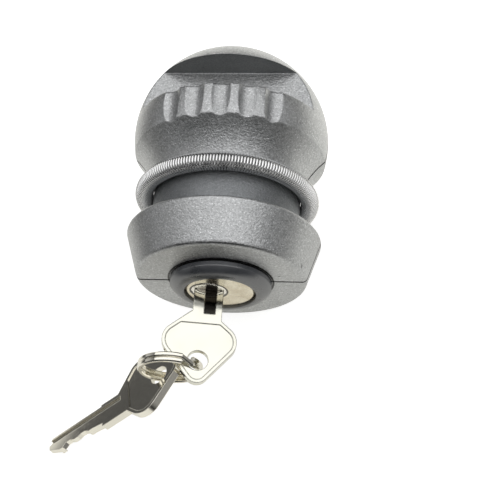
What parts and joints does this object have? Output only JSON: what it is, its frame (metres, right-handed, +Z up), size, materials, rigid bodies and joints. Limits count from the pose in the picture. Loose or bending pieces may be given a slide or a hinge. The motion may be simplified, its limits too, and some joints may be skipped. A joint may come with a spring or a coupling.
{
  "type": "trailer coupling ball lock",
  "caption": "Split zinc ball with a waist, garter spring and collar that jams inside an unhitched trailer coupling; a key barrel in the collar covers the clamp screw.",
  "frame": {"origin": "centre of the ball", "axes": "+Y along the lock's axis towards the ball's crown, +Z up through the front shell as the lock lies on its rear shell, +X to the right seen from the key"},
  "size_m": [0.0678, 0.1011, 0.049],
  "materials": {
    "zinc_casting": "blasted, fine sparkling grain",
    "spring_steel": "bright drawn wire",
    "steel": "plain machined",
    "dark_plastic": "satin",
    "nickel": "nickel plated, satin",
    "brass": "stamped"
  },
  "bodies": {
    "rear": {"rear_shell": "zinc_casting", "guide_pins": "steel", "garter_spring": "spring_steel"},
    "front": {"front_shell": "zinc_casting"},
    "core": {"lock_sleeve": "dark_plastic"},
    "upper_clamp": {"upper_wedge": "steel"},
    "lower_clamp": {"lower_wedge": "steel", "thrust_washer": "steel"},
    "screw": {"clamp_screw": "steel"},
    "barrel": {"lock_barrel": "nickel"},
    "plug": {"key_plug": "nickel", "working_key": "nickel", "wafer_1": "brass", "wafer_2": "brass", "wafer_3": "brass", "wafer_4": "brass", "wafer_5": "brass", "wafer_springs": "spring_steel", "locking_cam": "steel", "cam_screw": "steel"},
    "ring": {"key_ring": "nickel"},
    "spare": {"spare_key": "nickel"}
  },
  "joints": [
    {"name": "shell_spread", "type": "slide", "parent": "rear", "child": "front", "axis": [0, 0, 1], "range_m": [0, 0.003], "deforming": ["garter_spring"]},
    {"name": "core_lift", "type": "slide", "parent": "rear", "child": "core", "axis": [0, 0, 1], "range_m": [0, 0.0015]},
    {"name": "upper_wedge_travel", "type": "slide", "parent": "core", "child": "upper_clamp", "axis": [0, -1, 0], "range_m": [0, 0.003]},
    {"name": "lower_wedge_travel", "type": "slide", "parent": "core", "child": "lower_clamp", "axis": [0, 1, 0], "range_m": [0, 0.003]},
    {"name": "screw_turn", "type": "hinge", "parent": "lower_clamp", "child": "screw", "pos_m": [0, 0, 0], "axis": [0, 1, 0], "range_deg": [0, 2160]},
    {"name": "barrel_slide", "type": "slide", "parent": "core", "child": "barrel", "axis": [0, -1, 0], "range_m": [0, 0.0225]},
    {"name": "key_turn", "type": "hinge", "parent": "barrel", "child": "plug", "pos_m": [-0.0027, -0.035, 0.0005], "axis": [0, 1, 0], "range_deg": [-10, 170]},
    {"name": "ring_swing", "type": "hinge", "parent": "plug", "child": "ring", "pos_m": [-0.00403, -0.0597, 0.00073], "axis": [0.1736, 0, 0.9848], "range_deg": [-30, 10]},
    {"name": "spare_key_swing", "type": "hinge", "parent": "ring", "child": "spare", "pos_m": [-0.01415, -0.06045, -0.00828], "axis": [0.5488, -0.2524, -0.7969], "range_deg": [-60, 0]}
  ],
  "couplings": [
    {"joint": "core_lift", "follows": "shell_spread", "ratio": 0.5},
    {"joint": "upper_wedge_travel", "follows": "shell_spread", "ratio": 1},
    {"joint": "lower_wedge_travel", "follows": "shell_spread", "ratio": 1},
    {"joint": "screw_turn", "follows": "shell_spread", "rad_per_m": 12566}
  ]
}
